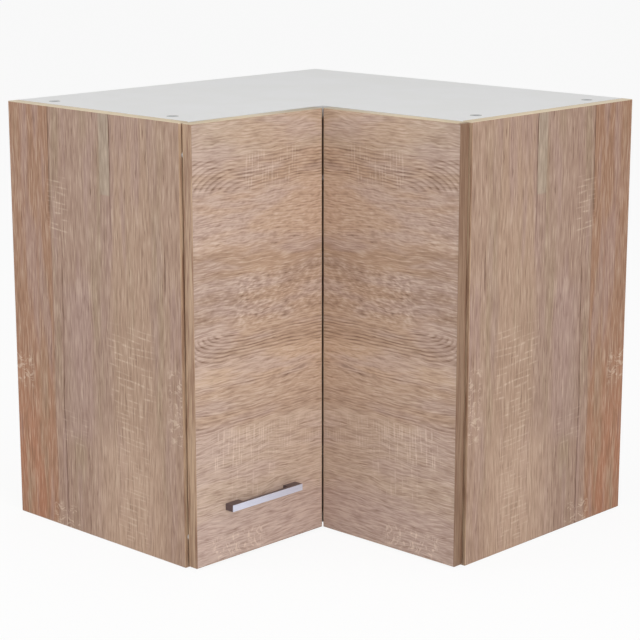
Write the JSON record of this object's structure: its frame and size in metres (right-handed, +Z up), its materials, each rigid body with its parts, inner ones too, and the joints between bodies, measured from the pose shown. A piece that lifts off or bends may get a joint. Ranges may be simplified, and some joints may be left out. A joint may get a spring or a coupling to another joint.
{
  "type": "corner wall cabinet",
  "caption": "L-shaped corner wall cabinet with a folding two-leaf door on concealed hinges, an inner shelf, cam-lock joints and adjustable wall hangers.",
  "frame": {"origin": "middle of the square plan, at the underside", "axes": "+Z up; the room's walls stand behind -X and +Y; the door leaves face +X and -Y"},
  "size_m": [0.6, 0.6, 0.582],
  "materials": {
    "oak_upright": "sawn oak pattern melamine, grain upright, satin",
    "oak_front": "sawn oak pattern melamine, grain level, satin",
    "white_board": "white melamine on chipboard, satin",
    "white_hardboard": "white-faced hardboard, matt",
    "beech_dowel": "plain beech",
    "zinc_casting": "die-cast zinc, dull",
    "plated_steel": "nickel-plated pressed steel",
    "satin_handle": "satin metal",
    "clear_bumper": "translucent soft bumper",
    "white_plastic": "moulded plastic"
  },
  "bodies": {
    "carcass": {"bottom_panel": "white_board", "cam_bolt_left_bottom_front": "plated_steel", "cam_bolt_left_bottom_rear": "plated_steel", "cam_bolt_left_top_front": "plated_steel", "cam_bolt_left_top_rear": "plated_steel", "cam_bolt_right_bottom_front": "plated_steel", "cam_bolt_right_bottom_rear": "plated_steel", "cam_bolt_right_top_front": "plated_steel", "cam_bolt_right_top_rear": "plated_steel", "cam_left_bottom_front": "zinc_casting", "cam_left_bottom_rear": "zinc_casting", "cam_left_top_front": "zinc_casting", "cam_left_top_rear": "zinc_casting", "cam_right_bottom_front": "zinc_casting", "cam_right_bottom_rear": "zinc_casting", "cam_right_top_front": "zinc_casting", "cam_right_top_rear": "zinc_casting", "dowel_left_bottom": "beech_dowel", "dowel_left_top": "beech_dowel", "dowel_right_bottom": "beech_dowel", "dowel_right_top": "beech_dowel", "hanger_housing_left": "white_plastic", "hanger_housing_right": "white_plastic", "left_back_panel": "white_hardboard", "left_end_panel": "oak_upright", "rear_corner_post": "white_board", "right_back_panel": "white_hardboard", "right_end_panel": "oak_upright", "shelf": "white_board", "shelf_pin_left_front": "plated_steel", "shelf_pin_left_rear": "plated_steel", "shelf_pin_post": "plated_steel", "shelf_pin_right_front": "plated_steel", "shelf_pin_right_rear": "plated_steel", "side_hinge_arm_lower": "plated_steel", "side_hinge_arm_upper": "plated_steel", "side_hinge_plate_lower": "plated_steel", "side_hinge_plate_upper": "plated_steel", "top_panel": "white_board"},
    "right_leaf": {"fold_hinge_arm_lower": "plated_steel", "fold_hinge_arm_upper": "plated_steel", "fold_hinge_plate_lower": "plated_steel", "fold_hinge_plate_upper": "plated_steel", "right_door": "oak_front", "side_hinge_cup_lower": "plated_steel", "side_hinge_cup_upper": "plated_steel"},
    "left_leaf": {"door_bumper_lower": "clear_bumper", "door_bumper_upper": "clear_bumper", "fold_hinge_cup_lower": "plated_steel", "fold_hinge_cup_upper": "plated_steel", "handle": "satin_handle", "handle_screw_inner": "plated_steel", "handle_screw_outer": "plated_steel", "left_door": "oak_front"},
    "arm_links": {"side_hinge_arm_link_lower": "plated_steel", "side_hinge_arm_link_upper": "plated_steel"},
    "cup_links": {"side_hinge_cup_link_lower": "plated_steel", "side_hinge_cup_link_upper": "plated_steel"},
    "left_hook": {"hanger_hook_left": "plated_steel"},
    "right_hook": {"hanger_hook_right": "plated_steel"}
  },
  "joints": [
    {"name": "door_swing", "type": "hinge", "parent": "carcass", "child": "right_leaf", "pos_m": [0.2907, -0.0523, 0.291], "axis": [0, 0, 1], "range_deg": [0, 165]},
    {"name": "arm_link_turn", "type": "hinge", "parent": "carcass", "child": "arm_links", "pos_m": [0.2753, -0.0518, 0.291], "axis": [0, 0, 1], "range_deg": [0, 151]},
    {"name": "cup_link_turn", "type": "hinge", "parent": "right_leaf", "child": "cup_links", "pos_m": [0.2775, -0.0456, 0.291], "axis": [0, 0, -1], "range_deg": [0, 152.5]},
    {"name": "leaf_fold", "type": "hinge", "parent": "right_leaf", "child": "left_leaf", "pos_m": [0.06, -0.06, 0.291], "axis": [0, 0, 1], "range_deg": [0, 60]},
    {"name": "left_hook_height", "type": "slide", "parent": "carcass", "child": "left_hook", "axis": [0, 0, 1], "range_m": [-0.004, 0.004]},
    {"name": "right_hook_height", "type": "slide", "parent": "carcass", "child": "right_hook", "axis": [0, 0, 1], "range_m": [-0.004, 0.004]}
  ],
  "couplings": [
    {"joint": "arm_link_turn", "follows": "door_swing", "ratio": 0.91323},
    {"joint": "cup_link_turn", "follows": "door_swing", "ratio": 0.92237}
  ]
}
